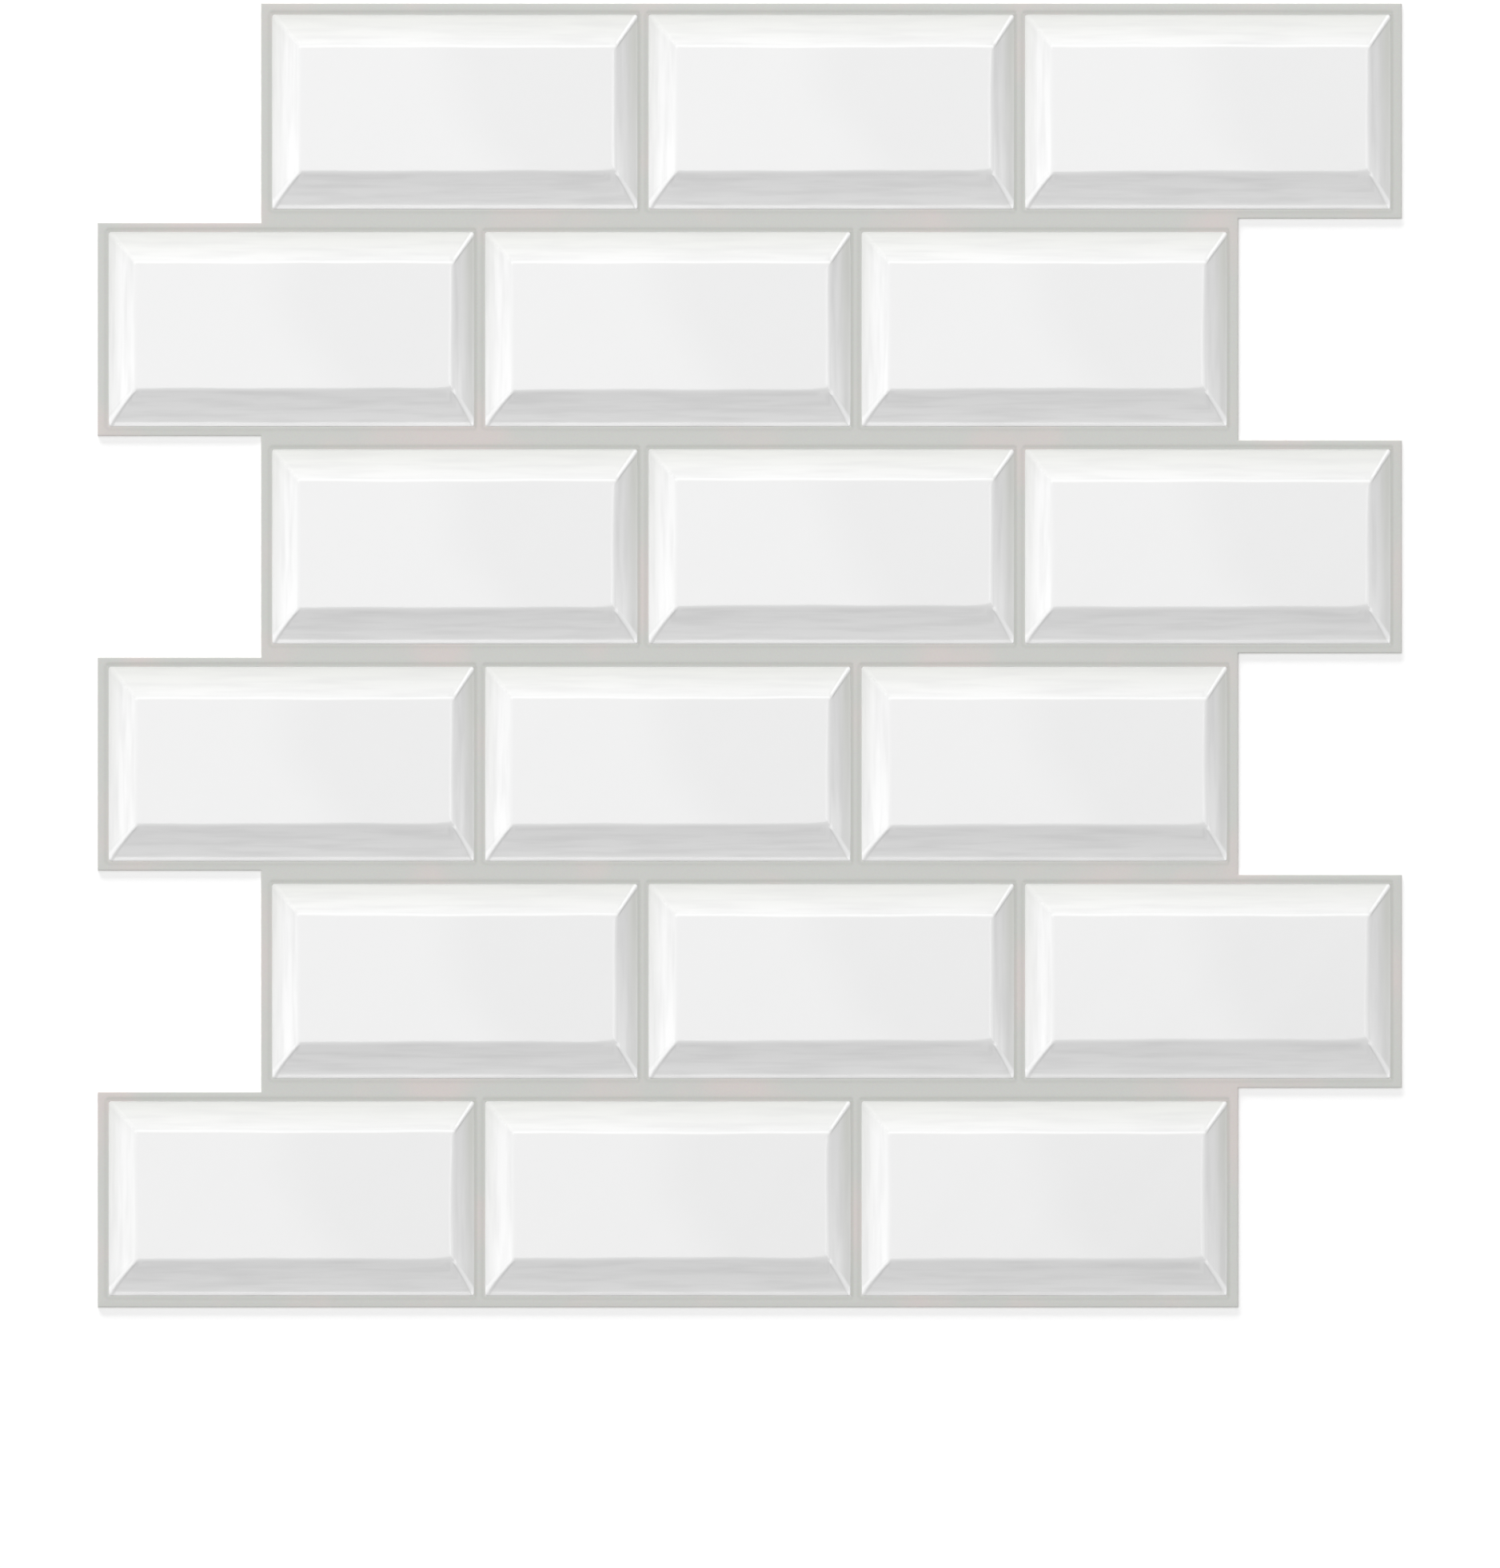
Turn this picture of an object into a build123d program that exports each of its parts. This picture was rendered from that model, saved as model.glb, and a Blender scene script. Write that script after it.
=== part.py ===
from build123d import *
import os

# One sheet of peel and stick backsplash tile, lying face up. Millimetres.
# +X runs along the rows, +Y up the wall and +Z out of the wall towards the room.
# The origin is the middle of the sheet, on the underside of the release liner.

# The bond: rows of tiles, each row set sideways from the one above it.
rows = 6
tiles_per_row = 3
tile_width = 85.4
tile_height = 45.4
side_joint = 2.6  # grout between two tiles of one row
bed_joint = 5.4  # grout between two rows
end_margin = 2.6  # grout past the last tile of a row
stagger = 38.2  # sideways step from one row to the next
tab_clearance = 0.5  # cut off above and below each projecting row end, so that sheets interlock

# The layers, from the wall outwards.
liner_thickness = 0.1
backing_thickness = 0.9
seat_depth = 0.3  # how deep a tile sits in the backing
seat_clearance = 0.1  # gap all round a seated tile
seat_lip = 0.1  # bevel where the grout turns down into the seat

# A tile: a low foot with a narrow flat rim, four hollow bevels and a raised face.
tile_corner_radius = 0.5
rim_rise = 0.06  # rim above the grout
rim_width = 0.3
lower_rim_width = 1.0  # the rim is wider along the tile's lower edge
rim_edge = 0.06  # bevel broken off the rim's outer edge
face_rise = 1.5  # face above the grout
bevel_left = 6.4  # from the tile's edge to the face, rim included, as the next three
bevel_right = 5.1
bevel_top = 7.4
bevel_bottom = 8.6
bevel_hollow = 0.07  # how far a bevel dips below a straight slope
crest_start = 0.7  # the soft turn from bevel to face starts this far down the bevel
crest_end = 0.5  # and ends this far in on the face

row_pitch = tile_height + bed_joint
tile_pitch = tile_width + side_joint
row_length = tiles_per_row * tile_pitch - side_joint + 2 * end_margin
sheet_width = row_length + stagger
sheet_height = rows * row_pitch

grout_level = liner_thickness + backing_thickness
seat_level = grout_level - seat_depth
rim_height = seat_depth + rim_rise  # measured from the tile's own underside
face_height = seat_depth + face_rise


def row_middle(row):
    """(x, y) of a row's middle. Row 1 is the top one, and odd rows are set to the right."""
    side = 1 if row % 2 else -1
    return side * stagger / 2, sheet_height / 2 - (row - 0.5) * row_pitch


def tile_places():
    """(row, column, x, y) of every tile's middle, with column 1 at the left."""
    for row in range(1, rows + 1):
        x, y = row_middle(row)
        for column in range(1, tiles_per_row + 1):
            yield row, column, x + (column - (tiles_per_row + 1) / 2) * tile_pitch, y


def sheet_outline():
    """The die-cut outline: a block as wide as all rows share, and each row's end as a tab."""
    outline = Rectangle(row_length - stagger, sheet_height)
    for row in range(1, rows + 1):
        x, y = row_middle(row)
        cut_above = tab_clearance if row > 1 else 0
        cut_below = tab_clearance if row < rows else 0
        strip = Rectangle(row_length, row_pitch - cut_above - cut_below)
        outline += Pos(x, y + (cut_below - cut_above) / 2) * strip
    return outline


def release_liner():
    """Siliconised paper that is peeled off before the sheet goes on the wall."""
    return extrude(sheet_outline(), liner_thickness)


def backing_sheet():
    """The grout-coloured sheet, with a shallow seat for each tile."""
    sheet = Pos(0, 0, liner_thickness) * extrude(sheet_outline(), backing_thickness)
    seat_outline = RectangleRounded(
        tile_width + 2 * seat_clearance,
        tile_height + 2 * seat_clearance,
        tile_corner_radius + seat_clearance,
    )
    seat = extrude(seat_outline, seat_depth)
    sheet -= [Pos(x, y, seat_level) * seat for _, _, x, y in tile_places()]
    grout_face = sheet.faces().sort_by(Axis.Z)[-1]
    return sheet.chamfer(seat_lip, None, grout_face.inner_wires().edges())


def bevel_line(foot, crest):
    """One side of a section, from foot to face: a hollow arc, then one that rounds the crest. It
    meets the face at a slight angle, because surfaces that only touch don't intersect reliably."""
    inwards = 1 if crest > foot else -1
    half_way = ((foot + crest) / 2, (rim_height + face_height) / 2 - bevel_hollow)
    hollow = ThreePointArc((foot, rim_height), half_way, (crest, face_height))
    hollow = hollow.trim(0, 1 - crest_start / hollow.length)
    on_face = (crest + inwards * crest_end, face_height)
    return hollow, TangentArc(hollow @ 1, on_face, tangent=hollow % 1)


def bevelled_section(span, low_rim, low_bevel, high_rim, high_bevel):
    """A section right across a tile: foot, rim, hollow bevel, rounded crest and flat face."""
    edge = span / 2
    low_foot, high_foot = low_rim - edge, edge - high_rim
    low_hollow, low_crest = bevel_line(low_foot, low_bevel - edge)
    high_hollow, high_crest = bevel_line(high_foot, edge - high_bevel)
    base = Polyline(
        (low_foot, rim_height), (-edge, rim_height), (-edge, 0),
        (edge, 0), (edge, rim_height), (high_foot, rim_height),
    )
    face = Line(low_crest @ 1, high_crest @ 1)
    return make_face([base, low_hollow, low_crest, face, high_crest, high_hollow])


def tile():
    """One tile on z = 0. Its two sections, each run the whole way, meet in the four mitres."""
    lengthways = Plane.XZ * bevelled_section(
        tile_width, rim_width, bevel_left, rim_width, bevel_right
    )
    upright = Plane.YZ * bevelled_section(
        tile_height, lower_rim_width, bevel_bottom, rim_width, bevel_top
    )
    plan = RectangleRounded(tile_width, tile_height, tile_corner_radius)
    body = (
        extrude(lengthways, tile_height / 2, both=True)
        & extrude(upright, tile_width / 2, both=True)
        & extrude(plan, face_height)
    )
    rim = body.faces().filter_by(Axis.Z).sort_by(Axis.Z)[1]
    return body.chamfer(rim_edge, None, rim.outer_wire().edges())


os.makedirs("parts", exist_ok=True)
export_step(release_liner(), "parts/release_liner.step")
export_step(backing_sheet(), "parts/backing_sheet.step")
one_tile = tile()
for row, column, x, y in tile_places():
    export_step(Pos(x, y, seat_level) * one_tile, f"parts/tile_row_{row}_col_{column}.step")
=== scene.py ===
import math

import bpy
import numpy as np
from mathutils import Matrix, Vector


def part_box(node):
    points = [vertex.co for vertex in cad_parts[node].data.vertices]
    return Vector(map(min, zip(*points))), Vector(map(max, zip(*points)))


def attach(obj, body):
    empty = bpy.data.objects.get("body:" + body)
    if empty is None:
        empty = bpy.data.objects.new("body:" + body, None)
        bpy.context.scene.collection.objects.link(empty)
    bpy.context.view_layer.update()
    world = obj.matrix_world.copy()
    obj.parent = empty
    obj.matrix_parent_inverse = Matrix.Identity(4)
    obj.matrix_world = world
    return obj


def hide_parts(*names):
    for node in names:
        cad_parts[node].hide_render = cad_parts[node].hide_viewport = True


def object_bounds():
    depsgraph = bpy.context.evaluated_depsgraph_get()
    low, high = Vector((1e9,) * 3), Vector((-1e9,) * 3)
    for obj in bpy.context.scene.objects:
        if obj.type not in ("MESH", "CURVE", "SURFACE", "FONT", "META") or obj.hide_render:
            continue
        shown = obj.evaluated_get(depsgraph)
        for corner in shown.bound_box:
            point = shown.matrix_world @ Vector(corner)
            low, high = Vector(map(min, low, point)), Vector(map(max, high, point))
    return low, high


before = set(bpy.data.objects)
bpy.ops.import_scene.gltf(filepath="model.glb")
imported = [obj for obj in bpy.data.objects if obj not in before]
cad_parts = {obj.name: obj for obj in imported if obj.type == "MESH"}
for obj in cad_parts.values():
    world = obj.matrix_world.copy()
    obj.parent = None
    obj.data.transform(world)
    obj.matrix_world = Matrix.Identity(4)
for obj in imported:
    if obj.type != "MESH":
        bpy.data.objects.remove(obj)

cad_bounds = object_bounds()
MM = 0.001

rows = 6
tiles_per_row = 3
row_pitch = 50.8
stagger = 38.2  # sideways step from one row to the next
tab_clearance = 0.5  # cut off above and below each projecting row end

# How the moulded surface departs from a plain bevelled block.
rim_rise = 0.06  # rim above the grout
rims = {"left": 0.3, "right": 0.3, "top": 0.3, "bottom": 1.0}  # flat rim, from the tile's edge
rim_sag = 0.035  # how much lower the bottom and right rims are at the tile's edge than at the bevel
rim_edge_radius = 0.06
tile_corner_radius = 0.5
face_rise = 1.5  # face above the grout
bevels = {"left": 6.4, "right": 5.1, "top": 7.4, "bottom": 8.6}  # tile's edge to the face
hollows = {"left": 0.07, "right": 0.07, "top": 0.07, "bottom": 0.11}  # dip below a straight slope
face_crown = 0.05  # the face is this much higher in the middle than at its edges

# The height over which two surfaces blend where they meet.
foot_softness = 0.03  # rim and bevel
mitre_softness = 0.10  # two bevels
crest_softness = 0.13  # bevel and face
right_crest_softness = (0.196, 0.284)  # the same on the right, at its upper end and at its lower end
right_crest_start = 0.93  # share of the face's width where that starts to come in

# How far the crest lines stand off their nominal places, at most.
side_jitter = 0.25  # each as a whole
side_wobble = 0.10  # along its length
jitter_reach = 12  # mm of face over which that dies away
wander_waves = ((60, 0.6), (23, 0.4))  # the sines in a wandering line, each by its length and share

# The slow ripple left by the mould: two crossed waves, each by its length in X, in Y and its share.
ripple = 0.006  # half the height of a wave whose share is 1
ripple_waves = ((31, 27, 1.0), (13, 17, 0.5))
ripple_start = 2  # mm of bevel over which it comes in

# The grout between the tiles. It grips each tile's foot, and a little way out from it a band of
# painted shade darkens it: how dark, and how far out in mm.
seat_gap = 0.02
seat_depth = 0.3
crease_shades = {"left": (0.25, 0.8), "right": (0.5, 0.4), "top": (0.5, 0.8), "bottom": (0.25, 0.75)}
crease_shade_reach = 0.7  # mm to either side
lip_width = 0.6  # how far out from a seat the grout starts to turn down
lip_drop = 0.012  # and how far it is down at the seat
edge_width = 0.25  # the same two along the die-cut outline
edge_drop = 0.12

# The mould's draw marks.
streak_length = 20
streak_width = 1.6

# The gel over the tiles.
# How much darker each bevel is at its foot, partly the grey backing tinting the gel where it is shallow
# and partly painted shade, and the share of the bevel over which that fades out.
foot_tint_and_shade_by_side = {"left": (0.55, 0.5), "right": (1.3, 0.6), "top": (0.8, 1.15), "bottom": (0.1, 0.1)}
foot_shade_less_low = 0.7  # how much less of that darkening there is at the tile's lower edge
# How much painted light whitens a side bevel: at the tile's upper edge, at its lower edge, and from what
# share of the bevel's width.
side_bevel_light = {"left": (0.38, 0.92, 0.08), "right": (0.12, 0.95, 0.16)}
bevel_light_width = 0.5  # share of that width over which it comes in
# How strong the painted highlight along a crest is at the tile's upper edge and at its lower edge. Then,
# as heights of its
# bevel run on over the face: where it is centred, how far up and down it reaches, and how far past
# a mitre.
crest_highlights = {"top": (0.85, 0.85, 0.0, 0.09, 0.10), "right": (0.3, 0.9, 0.16, 0.32, 0.02)}
# Painted shade makes the right part of each tile a little greyer. It lies to the right of this share of
# the face's width, at the tile's upper edge and at its lower edge. The other two are such shares too: how
# far its border wanders, and the width over which it comes in.
right_shade_start = (0.33, 0.53)
right_shade_wander = 0.02
right_shade_width = 0.26

# A fine bead, which the mould leaves along the mitres, whitened by a painted highlight, and how marked
# both are at each corner.
mitre_beads_and_highlights = {("top", "left"): 0.1, ("top", "right"): 0.8, ("bottom", "left"): 0.8, ("bottom", "right"): 1.0}
bead_reach = 0.28  # the two bevels are this far apart in height where it ends
bead_core = 0.25  # share of that up to which it is full
bead_height = 0.13
bead_fade = 0.3  # it fades out over this height below the face

MIX_A, MIX_B, MIX_RESULT = 6, 7, 2  # a colour Mix node's sockets

# The light, as radiance on a scale where 1 is white.
world_light = 0.276
softbox_radiance = 2.74
strip_radiance = 9.7
floor_lift = 0.25  # what the camera sees on the floor besides its own shade
floor_gap = 0.00002  # metres, so that floor and liner don't share a plane


def linear(hex_colour):
    """Linear RGBA of an sRGB hex colour."""
    channels = [int(hex_colour[i:i + 2], 16) / 255 for i in (1, 3, 5)]
    return [c / 12.92 if c <= 0.04045 else ((c + 0.055) / 1.055) ** 2.4 for c in channels] + [1.0]


def add_node(tree, kind, inputs=None, **settings):
    """Adds a node. An input given as a socket is linked, and any other is set as its value."""
    node = tree.nodes.new(kind)
    for name, value in settings.items():
        setattr(node, name, value)
    for name, value in (inputs or {}).items():
        if isinstance(value, bpy.types.NodeSocket):
            tree.links.new(value, node.inputs[name])
        else:
            node.inputs[name].default_value = value
    return node


def new_material(name, **shader_inputs):
    """A material with an empty tree but for its shader and output."""
    material = bpy.data.materials.new(name)
    material.use_nodes = True
    tree = material.node_tree
    tree.nodes.clear()
    shader = add_node(tree, "ShaderNodeBsdfPrincipled", shader_inputs)
    add_node(tree, "ShaderNodeOutputMaterial", {"Surface": shader.outputs["BSDF"]})
    return material, tree, shader


def per_mm(size):
    """Scale of a pattern on Object coordinates, in metres, whose features are this many mm."""
    return 1 / (size * MM)


def soft_min(a, b, softness):
    """The lower of two heights, with their crossing rounded off over a height of softness."""
    share = np.clip(0.5 + 0.5 * (b - a) / softness, 0, 1)
    return b + (a - b) * share - softness * share * (1 - share)


def soft_max(a, b, softness):
    """The higher of two heights, with their crossing filled over a height of softness."""
    return -soft_min(-a, -b, softness)


def smooth_step(value):
    """0 below 0, 1 above 1, and an s-shaped cubic between."""
    t = np.clip(value, 0, 1)
    return t * t * (3 - 2 * t)


def make_object(name, vertices_mm, faces, smooth=True):
    """A mesh object at the origin, from an (n, 3) array in mm and a list of faces."""
    mesh = bpy.data.meshes.new(name)
    mesh.from_pydata((vertices_mm * MM).tolist(), [], faces)
    mesh.polygons.foreach_set("use_smooth", np.full(len(mesh.polygons), smooth))
    mesh.update()
    piece = bpy.data.objects.new(name, mesh)
    bpy.context.scene.collection.objects.link(piece)
    return piece


def grid_quads(columns, lines):
    """Quads of a grid whose vertex (i, j) is number i * lines + j, facing +Z."""
    i, j = np.meshgrid(np.arange(columns - 1), np.arange(lines - 1), indexing="ij")
    a = (i * lines + j).ravel()
    return np.stack([a, a + lines, a + lines + 1, a + 1], 1)


def box_of(node):
    """A node's lowest and highest corner, in mm."""
    return [np.array(corner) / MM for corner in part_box(node)]


# The camera looks straight down through a long lens, because the photograph shows no perspective.
photo_width_px, photo_height_px = 1876, 1961
sheet_left_px, sheet_right_px = 122, 1753
sheet_top_px, sheet_bottom_px = 3.5, 1635.5
sheet_low, sheet_high = (np.array(corner) / MM for corner in cad_bounds)
mm_per_px = (sheet_high[0] - sheet_low[0]) / (sheet_right_px - sheet_left_px)
view_x = (photo_width_px - sheet_left_px - sheet_right_px) / 2 * mm_per_px
view_y = (sheet_top_px + sheet_bottom_px - photo_height_px) / 2 * mm_per_px
camera_data = bpy.data.cameras.new("camera")
camera_data.lens = 800
camera_data.sensor_width = 36
camera_height = photo_height_px * mm_per_px * camera_data.lens / camera_data.sensor_width
camera = bpy.data.objects.new("camera", camera_data)
camera.location = (view_x * MM, view_y * MM, (camera_height + sheet_high[2]) * MM)
bpy.context.scene.collection.objects.link(camera)
bpy.context.scene.camera = camera


def bevel_height(distance, side, rim, crest):
    """Height of one bevel at a distance from the tile's edge: a parabola from rim to crest, lower
    than the straight slope by its hollow half way, run on as straight lines past both ends."""
    rise, dip = crest - rim, 4 * hollows[side]
    t = (distance - rims[side]) / (bevels[side] - rims[side])
    hollow = rim + rise * t - dip * t * (1 - t)
    below = rim + (rise - dip) * t
    above = crest + (rise + dip) * (t - 1)
    return np.where(t < 0, below, np.where(t > 1, above, hollow))


def stations(span, low_side, high_side):
    """Where the grid's lines cross one axis of a tile, counted from its middle, between the rounded
    rim edges: close together on the rim, the bevels and a little past the crests, wider apart on
    the face."""
    past_crest, face_step = 1.6, 1.5

    def lines(side):
        return np.unique(np.concatenate([
            np.linspace(rim_edge_radius, tile_corner_radius, 6),
            np.linspace(tile_corner_radius, rims[side], 4),
            np.linspace(rims[side], bevels[side], 25),
            bevels[side] + np.linspace(0, past_crest, 9),
        ]).round(6))

    low, high = lines(low_side) - span / 2, span / 2 - lines(high_side)[::-1]
    face_steps = int((high[0] - low[-1]) / face_step)
    return np.concatenate([low, np.linspace(low[-1], high[0], face_steps + 1)[1:-1], high])


def between(ends, share):
    """From the first of two values, at share 0, to the second, at share 1."""
    return ends[0] + (ends[1] - ends[0]) * share


def wander(position, rng, amount):
    """A slow wandering line: sines of random phase that add up to the amount at most."""
    phases = rng.uniform(0, 2 * math.pi, len(wander_waves))
    return amount * sum(
        share * np.sin(position * 2 * math.pi / length + phase)
        for (length, share), phase in zip(wander_waves, phases)
    )


def tile_piece(row, column):
    """One tile. Its top is a grid over the plan: the height is the soft minimum of the two pairs of
    bevels, cut off softly by the face above and the rim below. Its grid is pushed sideways a
    little so that the crests wander. A profile carried round the grid's border makes the rounded
    rim edge and the foot, and one face closes it underneath."""
    node = f"tile_row_{row}_col_{column}"
    low, high = box_of(node)
    rng = np.random.default_rng(100 * row + column)
    middle, span = (low + high) / 2, high - low
    foot, rim = low[2], high[2] - face_rise + rim_rise
    crest = high[2]

    # Plan of the grid, with the rim's corners rounded: a point past the corner's centre keeps its
    # direction and its largest coordinate becomes its distance.
    xs = stations(span[0], "left", "right")
    ys = stations(span[1], "bottom", "top")
    x, y = np.meshgrid(xs, ys, indexing="ij")
    core = span[:2] / 2 - tile_corner_radius
    base_x, base_y = np.clip(x, -core[0], core[0]), np.clip(y, -core[1], core[1])
    corner = tile_corner_radius - rim_edge_radius
    out_x, out_y = (x - base_x) / corner, (y - base_y) / corner
    largest = np.maximum(np.abs(out_x), np.abs(out_y))
    length = np.maximum(np.hypot(out_x, out_y), 1e-9)
    out_x, out_y = out_x * largest / length, out_y * largest / length

    # Heights.
    distance = {
        "left": x + span[0] / 2, "right": span[0] / 2 - x,
        "bottom": y + span[1] / 2, "top": span[1] / 2 - y,
    }
    slope = {side: bevel_height(distance[side], side, rim, crest) for side in bevels}
    side_bevels = np.minimum(slope["left"], slope["right"])
    level_bevels = np.minimum(slope["bottom"], slope["top"])
    slopes = soft_min(side_bevels, level_bevels, mitre_softness)
    across = (distance["left"] - bevels["left"]) / (span[0] - bevels["left"] - bevels["right"])
    down = (distance["top"] - bevels["top"]) / (span[1] - bevels["bottom"] - bevels["top"])
    crowned = crest - face_crown * np.clip((across * 2 - 1) ** 2 + (down * 2 - 1) ** 2, 0, 2) / 2
    phases = rng.uniform(0, 2 * math.pi, (len(ripple_waves), 2))
    rippled = ripple * sum(
        share * (np.sin(x * 2 * math.pi / in_x + phase[0]) * np.sin(y * 2 * math.pi / in_y + phase[1]) - 1)
        for (in_x, in_y, share), phase in zip(ripple_waves, phases)
    )
    from_rim = np.min([distance[side] - rims[side] for side in bevels], 0)
    sagging = np.max([np.clip(1 - distance[side] / rims[side], 0, 1) for side in ("bottom", "right")], 0)
    lowered = np.clip(down, 0, 1)
    on_right = smooth_step((across - right_crest_start) / (1 - right_crest_start))
    softness = between((crest_softness, between(right_crest_softness, lowered)), on_right)
    height = soft_max(soft_min(slopes, crowned, softness), rim, foot_softness)
    height = height + rippled * smooth_step(from_rim / ripple_start) - rim_sag * sagging ** 2

    # The fields that the finish follows. mitre: how far apart the two bevels are in height, in mm.
    # The others run from 0 to 1. bead_and_highlight: how marked the bead and its painted highlight
    # would be there. painted_highlight: a painted highlight on two of the crests.
    # foot_tint_and_shade: darker towards the foot of each bevel, less so low down; partly the grey
    # backing tinting the gel, partly painted shade. bevel_light: painted light on the side bevels,
    # more so low down. right_shade: painted shade over the right part of the tile. bevel: off the face.
    climb = {side: (distance[side] - rims[side]) / (bevels[side] - rims[side]) for side in bevels}
    painted_highlight = np.max([
        between((upper, lower), lowered ** 2) * (slope[side] <= slopes + past_mitre)
        * smooth_step(1 - np.abs(slopes - crowned - above) / reach)
        for side, (upper, lower, above, reach, past_mitre) in crest_highlights.items()
    ], 0)
    bead_and_highlight = sum(
        strength * (slope[level] == level_bevels) * (slope[side] == side_bevels)
        for (level, side), strength in mitre_beads_and_highlights.items()
    )
    foot_tint_and_shade = np.max([
        strength * (1 - climb[side] / share) for side, (strength, share) in foot_tint_and_shade_by_side.items()
    ], 0)
    on_side = side_bevels < level_bevels
    bevel_light = sum(
        between((upper, lower), lowered ** 2) * (slope[side] == side_bevels)
        * smooth_step((climb[side] - start) / bevel_light_width)
        for side, (upper, lower, start) in side_bevel_light.items()
    )
    off_face = smooth_step((crowned - slopes) / crest_softness)
    on_bottom = slope["bottom"] <= np.minimum(side_bevels, slope["top"])
    right_shade_border = between(right_shade_start, lowered ** 2) + wander(y, rng, right_shade_wander)
    fields = {
        "mitre": side_bevels - level_bevels,
        "bead_and_highlight": bead_and_highlight * smooth_step((crowned - slopes) / bead_fade),
        "painted_highlight": painted_highlight,
        "foot_tint_and_shade": np.clip(foot_tint_and_shade, 0, 1) * (1 - foot_shade_less_low * lowered),
        "bevel_light": bevel_light * on_side * off_face,
        "right_shade": smooth_step((across - right_shade_border) / right_shade_width) * (1 - off_face * on_bottom),
        "bevel": off_face,
    }

    # Push the crest lines sideways, most at the crest and not at all at the rim.
    def pull(side):
        rising = smooth_step((distance[side] - rims[side]) / (bevels[side] - rims[side]))
        return rising * (1 - smooth_step((distance[side] - bevels[side]) / jitter_reach))

    jitter = rng.uniform(-side_jitter, side_jitter, 4)
    push_x = pull("left") * (jitter[0] + wander(y, rng, side_wobble))
    push_x = push_x + pull("right") * (jitter[1] + wander(y, rng, side_wobble))
    push_y = pull("bottom") * (jitter[2] + wander(x, rng, side_wobble))
    push_y = push_y + pull("top") * (jitter[3] + wander(x, rng, side_wobble))
    plan_x, plan_y = base_x + corner * out_x + push_x, base_y + corner * out_y + push_y

    # The border of the grid, counter-clockwise, and the profile carried round it.
    columns, lines = x.shape
    i = np.concatenate([np.arange(columns - 1), np.full(lines - 1, columns - 1),
                        np.arange(columns - 1, 0, -1), np.zeros(lines - 1, int)])
    j = np.concatenate([np.zeros(columns - 1, int), np.arange(lines - 1),
                        np.full(columns - 1, lines - 1), np.arange(lines - 1, 0, -1)])
    border = i * lines + j
    turn = np.radians([18, 36, 54, 72, 90])
    radii = np.concatenate([corner + rim_edge_radius * np.sin(turn), [tile_corner_radius]])
    falls = rim_edge_radius * (1 - np.cos(turn))
    levels = np.vstack([height[i, j] - falls[:, None], np.full(len(i), foot)])
    skirt = np.stack([
        base_x[i, j] + radii[:, None] * out_x[i, j],
        base_y[i, j] + radii[:, None] * out_y[i, j],
        levels,
    ], 2)
    top_vertices = np.stack([plan_x, plan_y, height], 2).reshape(-1, 3)
    vertices = np.concatenate([top_vertices, skirt.reshape(-1, 3)])
    vertices[:, :2] += middle[:2]

    around, count = len(border), len(top_vertices)
    rings = np.concatenate([border[None], count + np.arange(levels.size).reshape(-1, around)])
    upper, lower = rings[:-1], rings[1:]
    walls = np.stack([upper, lower, np.roll(lower, -1, 1), np.roll(upper, -1, 1)], 2).reshape(-1, 4)
    quads = np.concatenate([grid_quads(columns, lines), walls])
    piece = make_object(f"glossy_{node}", vertices, quads.tolist() + [rings[-1][::-1].tolist()])

    # The fields, and how far along and across its bevel each point is, with a third number that
    # gives each tile streaks of its own.
    for name, field in fields.items():
        values = np.zeros(len(vertices))
        values[:count] = field.ravel()
        piece.data.attributes.new(name, "FLOAT", "POINT").data.foreach_set("value", values)
    inwards = np.min([distance[side] for side in bevels], 0).ravel()
    along = np.where(on_side, y, x).ravel()
    run = np.zeros((len(vertices), 3))
    run[:count] = np.stack([along, inwards, np.full(count, 7.0 * row + 3.0 * column)], 1)
    piece.data.attributes.new("run", "FLOAT_VECTOR", "POINT").data.foreach_set("vector", run.ravel())
    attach(piece, "root")
    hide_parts(node)
    return piece


def on_outline(x, y, low, high):
    """Whether each point is on the die-cut outline: in the block that all rows share, or in a row's
    strip, which is cut back above and below where it projects as a tab."""
    row = np.clip((high[1] - y) // row_pitch, 0, rows - 1)
    top = high[1] - row * row_pitch
    in_height = (y < top - tab_clearance * (row > 0)) & (
        y > top - row_pitch + tab_clearance * (row < rows - 1)
    )
    to_left = low[0] + stagger * (row % 2 == 0)
    in_strip = (x > to_left) & (x < to_left + high[0] - low[0] - stagger) & in_height
    in_block = (x > low[0] + stagger) & (x < high[0] - stagger)
    return in_block | in_strip


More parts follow.
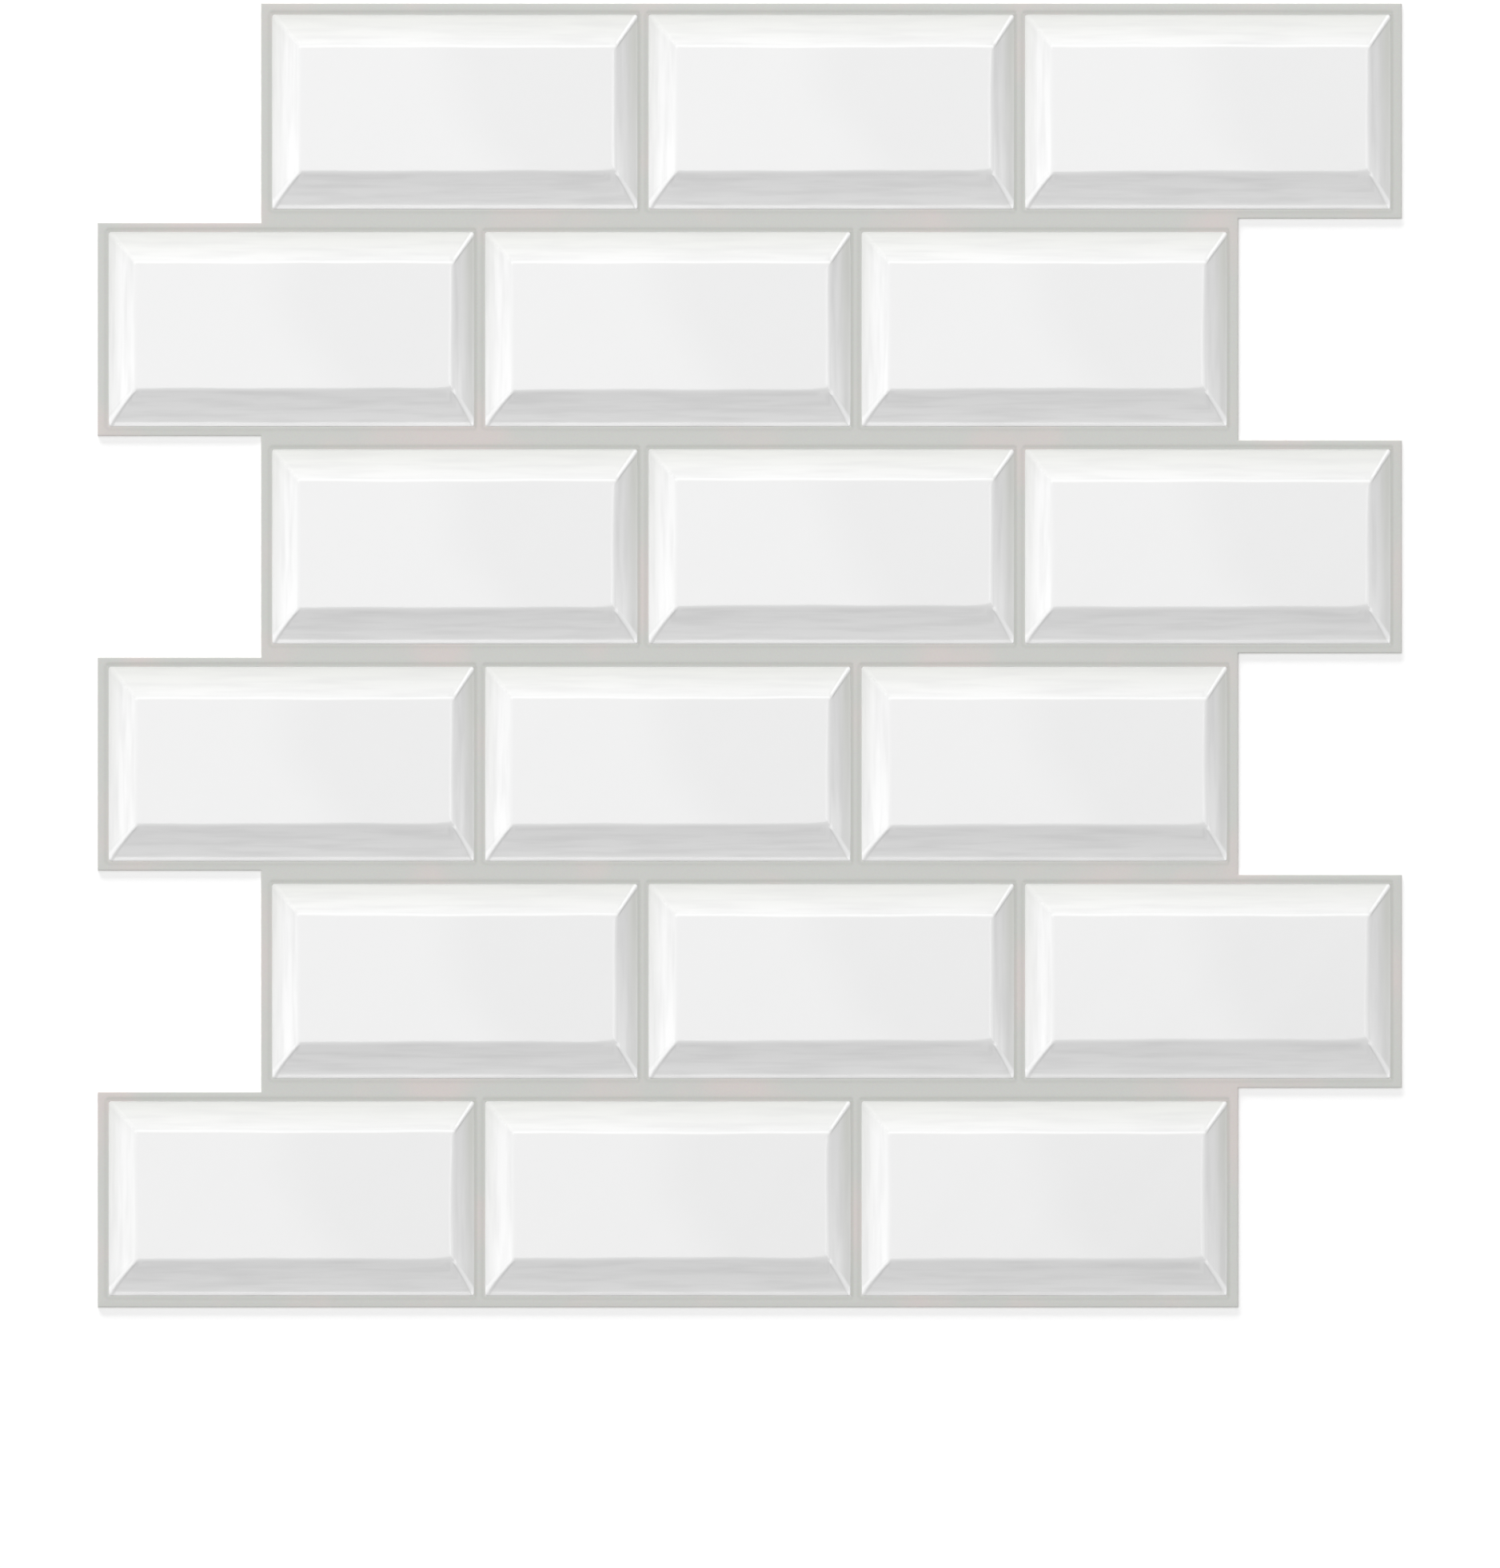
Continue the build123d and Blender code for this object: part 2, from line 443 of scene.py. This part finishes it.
def backing_piece():
    """The grout-coloured sheet. Its top is one grid over the whole sheet, with lines packed along
    every seat and edge. Its height is the grout level, less a parabola that turns down into each
    seat and a quarter ellipse along the outline, or the floor of a seat. Cells off the outline
    are left out, and walls and a flat underside close it."""
    low, high = box_of("backing_sheet")
    boxes = np.array([
        box_of(f"tile_row_{row}_col_{column}")
        for row in range(1, rows + 1) for column in range(1, tiles_per_row + 1)
    ])[:, :, :2]
    seat_low, seat_high = boxes[:, 0] - seat_gap, boxes[:, 1] + seat_gap

    # Grid lines: out from each seat's edge, one just inside it at the foot of its wall, in from
    # each edge of the outline, and a few between.
    lip = lip_width * np.array([-0.008, 0, 0.12, 0.28, 0.46, 0.7, 1, 1.4, 1.8, 2.2])
    edge = edge_width * np.array([0, 0.1, 0.3, 0.6, 1])
    steps = high[1] - row_pitch * np.arange(1, rows)[:, None]
    xs = np.concatenate([
        (seat_low[:, :1] - lip).ravel(), (seat_high[:, :1] + lip).ravel(),
        low[0] + edge, low[0] + stagger + edge, high[0] - stagger - edge, high[0] - edge,
    ])
    ys = np.concatenate([
        (seat_low[:, 1:] - lip).ravel(), (seat_high[:, 1:] + lip).ravel(),
        low[1] + edge, high[1] - edge, steps.ravel(),
        (steps + tab_clearance + edge).ravel(), (steps - tab_clearance - edge).ravel(),
    ])
    xs, ys = np.unique(xs.round(4)), np.unique(ys.round(4))
    x, y = np.meshgrid(xs, ys, indexing="ij")
    kept = on_outline((x[1:, 1:] + x[:-1, :-1]) / 2, (y[1:, 1:] + y[:-1, :-1]) / 2, low, high)

    # Distance to each seat, as to a rectangle with rounded corners: less than 0 inside.
    radius = tile_corner_radius + seat_gap
    centre, half = (seat_low + seat_high) / 2, (seat_high - seat_low) / 2 - radius
    from_x, from_y = x[..., None] - centre[:, 0], y[..., None] - centre[:, 1]
    off_x, off_y = np.abs(from_x) - half[:, 0], np.abs(from_y) - half[:, 1]
    from_seats = np.hypot(np.maximum(off_x, 0), np.maximum(off_y, 0))
    from_seats = from_seats + np.minimum(np.maximum(off_x, off_y), 0) - radius
    from_seat = from_seats.min(-1)

    # How dark the painted shade on the grout is there, by the side of the tile that the point lies on.
    beside = {
        "left": (from_x < 0) & (off_x > off_y), "right": (from_x > 0) & (off_x > off_y),
        "top": (from_y > 0) & (off_x <= off_y), "bottom": (from_y < 0) & (off_x <= off_y),
    }
    crease_shade = np.max([
        strength * (beside[side] * smooth_step(1 - np.abs(from_seats - out) / crease_shade_reach)).max(-1)
        for side, (strength, out) in crease_shades.items()
    ], 0)

    # The outline's edges, as pairs of grid vertices with the sheet on their left: each side of a
    # kept cell that has no kept neighbour.
    number = np.arange(x.size).reshape(x.shape)
    ring = np.pad(kept, 1)
    corners = [number[:-1, :-1], number[1:, :-1], number[1:, 1:], number[:-1, 1:]]
    neighbours = [ring[1:-1, :-2], ring[2:, 1:-1], ring[1:-1, 2:], ring[:-2, 1:-1]]
    rim = np.concatenate([
        np.stack([corners[k], corners[(k + 1) % 4]], 2)[kept & ~neighbours[k]] for k in range(4)
    ])

    # Distance to the nearest of those edges, and the heights.
    flat = np.stack([x.ravel(), y.ravel()], 1)
    ends = np.sort(flat[rim], 1)
    beyond = np.maximum(np.maximum(ends[:, 0] - flat[:, None], flat[:, None] - ends[:, 1]), 0)
    from_edge = np.hypot(beyond[..., 0], beyond[..., 1]).min(1).reshape(x.shape)
    turned_down = lip_drop * np.clip(1 - from_seat / lip_width, 0, 1) ** 2
    rounded = edge_drop * (1 - np.sqrt(1 - np.clip(1 - from_edge / edge_width, 0, 1) ** 2))
    height = np.where(from_seat < -0.001, high[2] - seat_depth, high[2] - turned_down - rounded)

    top = np.stack([x.ravel(), y.ravel(), height.ravel()], 1)
    under = top * [1, 1, 0] + [0, 0, low[2]]
    tops = grid_quads(*x.shape)[kept.ravel()]
    under_tops = tops[:, ::-1] + x.size
    walls = np.stack([rim[:, 0], rim[:, 0] + x.size, rim[:, 1] + x.size, rim[:, 1]], 1)
    faces = np.concatenate([tops, under_tops, walls])
    used, faces = np.unique(faces, return_inverse=True)
    piece = make_object(
        "backing", np.concatenate([top, under])[used], faces.reshape(-1, 4).tolist(), smooth=False
    )
    piece.data.polygons.foreach_set("use_smooth", np.arange(len(faces.reshape(-1, 4))) < len(tops))
    values = np.tile(crease_shade.ravel(), 2)[used]
    piece.data.attributes.new("crease_shade", "FLOAT", "POINT").data.foreach_set("value", values)
    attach(piece, "root")
    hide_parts("backing_sheet")
    return piece


def tile_finish():
    """Soft PVC under a clear poured gel: white right through, with a wet-looking gloss. The mould
    leaves its draw marks, faint streaks along each bevel, and a fine bead on the mitres. Painted
    highlights whiten the bead, two of the crests and the side bevels, painted shade greys the right
    part of each tile, and towards the foot of each bevel the colour darkens, partly the grey backing
    tinting the gel and partly painted shade."""
    material, tree, shader = new_material("poured_gel_on_white_pvc", Roughness=0.12, IOR=1.5)
    field = {
        name: add_node(tree, "ShaderNodeAttribute", attribute_name=name).outputs["Fac"]
        for name in ("mitre", "bead_and_highlight", "painted_highlight", "foot_tint_and_shade", "bevel_light", "right_shade", "bevel")
    }
    run = add_node(tree, "ShaderNodeAttribute", attribute_name="run")
    drawn = add_node(tree, "ShaderNodeMapping", {
        "Vector": run.outputs["Vector"],
        "Scale": (1 / streak_length, 1 / streak_width, 1.0),
    })
    streaks = add_node(tree, "ShaderNodeTexNoise", {
        "Vector": drawn.outputs["Vector"], "Scale": 1.0, "Detail": 2.0, "Roughness": 0.5,
    })
    # Painted shade: the right part of each tile is a shade greyer.
    body = add_node(tree, "ShaderNodeMix", {
        0: field["right_shade"], MIX_A: linear("#EEEEEE"), MIX_B: linear("#E9E9E9"),
    }, data_type="RGBA")
    # Darker towards the foot of each bevel: partly the grey backing tinting the gel, partly painted shade.
    foot_darkened = add_node(tree, "ShaderNodeMix", {
        0: field["foot_tint_and_shade"], MIX_A: body.outputs[MIX_RESULT], MIX_B: linear("#D7D8D3"),
    }, data_type="RGBA")
    # Painted light: the side bevels are whitened, more so low down.
    bevel_lit = add_node(tree, "ShaderNodeMix", {
        0: field["bevel_light"], MIX_A: foot_darkened.outputs[MIX_RESULT], MIX_B: linear("#FAFAFA"),
    }, data_type="RGBA")
    streaky = add_node(tree, "ShaderNodeMapRange", {
        "Value": streaks.outputs["Fac"], "From Min": 0.42, "From Max": 0.7, "To Min": 0.0, "To Max": 0.26,
    })
    share = add_node(tree, "ShaderNodeMath", {
        0: streaky.outputs[0], 1: field["bevel"],
    }, operation="MULTIPLY")
    drawn_body = add_node(tree, "ShaderNodeMix", {
        0: share.outputs[0], MIX_A: bevel_lit.outputs[MIX_RESULT], MIX_B: linear("#C9C9C9"),
    }, data_type="RGBA")
    apart = add_node(tree, "ShaderNodeMath", {0: field["mitre"]}, operation="ABSOLUTE")
    beside = add_node(tree, "ShaderNodeMapRange", {
        "Value": apart.outputs[0], "From Min": bead_core * bead_reach, "From Max": bead_reach,
        "To Min": 1.0, "To Max": 0.0,
    }, interpolation_type="SMOOTHSTEP")
    # The bead's mask: it raises the bead in the bump below and whitens it as a painted highlight.
    bead_and_highlight = add_node(tree, "ShaderNodeMath", {0: beside.outputs[0], 1: field["bead_and_highlight"]}, operation="MULTIPLY")
    painted_highlight = add_node(tree, "ShaderNodeMath", {0: bead_and_highlight.outputs[0], 1: field["painted_highlight"]}, operation="MAXIMUM")
    # Painted highlights: the bead and two of the crests are mixed towards white.
    highlighted = add_node(tree, "ShaderNodeMix", {
        0: painted_highlight.outputs[0], MIX_A: drawn_body.outputs[MIX_RESULT], MIX_B: linear("#FAFAFA"),
    }, data_type="RGBA")
    raised = add_node(tree, "ShaderNodeBump", {
        "Height": bead_and_highlight.outputs[0], "Strength": 1.0, "Distance": bead_height * MM,
    })
    tree.links.new(highlighted.outputs[MIX_RESULT], shader.inputs["Base Color"])
    tree.links.new(raised.outputs["Normal"], shader.inputs["Normal"])
    return material


def grout_finish():
    """Calendered PVC in a warm light grey with a dead matt, faintly sandy face, like dry grout. The
    pigment clouds between a green and a pink grey, and a band of painted shade darkens it a little
    way out from each tile."""
    material, tree, shader = new_material("matt_grout_grey_pvc", Roughness=0.75, IOR=1.5)
    coords = add_node(tree, "ShaderNodeTexCoord")
    clouds = add_node(tree, "ShaderNodeTexNoise", {
        "Vector": coords.outputs["Object"], "Scale": per_mm(30), "Detail": 3.0,
    })
    sand = add_node(tree, "ShaderNodeTexNoise", {
        "Vector": coords.outputs["Object"], "Scale": per_mm(0.5), "Detail": 2.0,
    })
    share = add_node(tree, "ShaderNodeMapRange", {
        "Value": clouds.outputs["Fac"], "From Min": 0.51, "From Max": 0.64,
    })
    body = add_node(tree, "ShaderNodeMix", {
        0: share.outputs[0], MIX_A: linear("#D2D3CF"), MIX_B: linear("#DAD3D0"),
    }, data_type="RGBA")
    # Painted shade: a darker band a little way out from each tile.
    crease_shade = add_node(tree, "ShaderNodeAttribute", attribute_name="crease_shade")
    crease_shaded = add_node(tree, "ShaderNodeMix", {
        0: crease_shade.outputs["Fac"], MIX_A: body.outputs[MIX_RESULT], MIX_B: linear("#B7B9B3"),
    }, data_type="RGBA")
    speck = add_node(tree, "ShaderNodeMix", {
        0: 0.12, MIX_A: crease_shaded.outputs[MIX_RESULT], MIX_B: sand.outputs["Color"],
    }, data_type="RGBA", blend_type="SOFT_LIGHT")
    bump = add_node(tree, "ShaderNodeBump", {
        "Height": sand.outputs["Fac"], "Strength": 0.25, "Distance": 0.05 * MM,
    })
    tree.links.new(speck.outputs[MIX_RESULT], shader.inputs["Base Color"])
    tree.links.new(bump.outputs["Normal"], shader.inputs["Normal"])
    return material


def liner_finish():
    """Siliconised kraft paper: cream, smooth, with the cloudy formation that paper pulp leaves."""
    material, tree, shader = new_material("siliconised_release_paper", Roughness=0.5, IOR=1.45)
    coords = add_node(tree, "ShaderNodeTexCoord")
    pulp = add_node(tree, "ShaderNodeTexNoise", {
        "Vector": coords.outputs["Object"], "Scale": per_mm(5), "Detail": 5.0, "Roughness": 0.65,
    })
    body = add_node(tree, "ShaderNodeMix", {
        0: pulp.outputs["Fac"], MIX_A: linear("#DDD5C2"), MIX_B: linear("#EBE5D6"),
    }, data_type="RGBA")
    tree.links.new(body.outputs[MIX_RESULT], shader.inputs["Base Color"])
    return material


def dress(piece, material):
    """Gives a piece one material."""
    piece.data.materials.clear()
    piece.data.materials.append(material)


def softbox(name, location, look_at, width, depth, radiance, turn=0.0):
    """A rectangular lamp of a stated radiance that aims at a point. Lengths are in metres."""
    light = bpy.data.lights.new(name, "AREA")
    light.shape = "RECTANGLE"
    light.size, light.size_y = width, depth
    light.energy = radiance * math.pi * width * depth
    lamp = bpy.data.objects.new(name, light)
    lamp.location = location
    aim = Vector(look_at) - Vector(location)
    lamp.rotation_euler = aim.to_track_quat("-Z", "Y").to_euler()
    lamp.rotation_euler.rotate_axis("Z", turn)
    bpy.context.scene.collection.objects.link(lamp)
    return lamp


def white_to_the_eye(tree):
    """A socket that is 1 for a ray from the camera, a reflection or glass, and 0 for other rays."""
    path = add_node(tree, "ShaderNodeLightPath")
    seen = add_node(tree, "ShaderNodeMath", {
        0: path.outputs["Is Camera Ray"], 1: path.outputs["Is Glossy Ray"],
    }, operation="MAXIMUM")
    return add_node(tree, "ShaderNodeMath", {
        0: seen.outputs[0], 1: path.outputs["Is Transmission Ray"],
    }, operation="MAXIMUM").outputs[0]


def studio():
    """A white floor and world, and two lamps. A level softbox hangs over the sheet, off towards its
    upper left, and shines in the faces and in the bevels on that side. A strip light low above
    the sheet's upper edge brings out the relief, and is kept out of the gloss, where it would
    glare at a low view."""
    bpy.ops.mesh.primitive_plane_add(size=60, location=(0, 0, -floor_gap))
    floor = bpy.context.object
    floor.name = "floor"
    material, tree, shader = new_material("matt_white_floor", Roughness=0.9)
    shader.inputs["Base Color"].default_value = linear("#F6F6F6")
    shader.inputs["Emission Color"].default_value = (1, 1, 1, 1)
    lift = add_node(tree, "ShaderNodeMath", {
        0: white_to_the_eye(tree), 1: floor_lift,
    }, operation="MULTIPLY")
    tree.links.new(lift.outputs[0], shader.inputs["Emission Strength"])
    dress(floor, material)

    world = bpy.data.worlds.new("studio")
    world.use_nodes = True
    tree = world.node_tree
    tree.nodes.clear()
    strength = add_node(tree, "ShaderNodeMapRange", {
        "Value": white_to_the_eye(tree), "To Min": world_light, "To Max": 1.0,
    })
    background = add_node(tree, "ShaderNodeBackground", {
        "Color": (1, 1, 1, 1), "Strength": strength.outputs[0],
    })
    add_node(tree, "ShaderNodeOutputWorld", {"Surface": background.outputs[0]})
    bpy.context.scene.world = world

    # The softbox runs from `near` past the point overhead, on the lower right, to `far` on the
    # upper left.
    height, near, far, half_length = 8.5, 0.5, 4.2, 4.4
    off = (far - near) / 2 / math.sqrt(2)
    softbox(
        "overhead_softbox", (-off, off, height), (-off, off, 0),
        far + near, 2 * half_length, softbox_radiance, math.radians(-45),
    )
    distance, leaning, to_left = 8.0, math.radians(72), math.radians(16)
    strip_width, strip_depth = 6.0, 3.0
    strip = softbox(
        "relief_strip", (
            -distance * math.sin(leaning) * math.sin(to_left),
            distance * math.sin(leaning) * math.cos(to_left),
            distance * math.cos(leaning),
        ), (0, 0, 0), strip_width, strip_depth, strip_radiance,
    )
    strip.visible_glossy = False


tile_material = tile_finish()
for row in range(1, rows + 1):
    for column in range(1, tiles_per_row + 1):
        dress(tile_piece(row, column), tile_material)
dress(backing_piece(), grout_finish())
dress(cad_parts["release_liner"], liner_finish())
studio()
bpy.context.scene.view_settings.view_transform = "Standard"
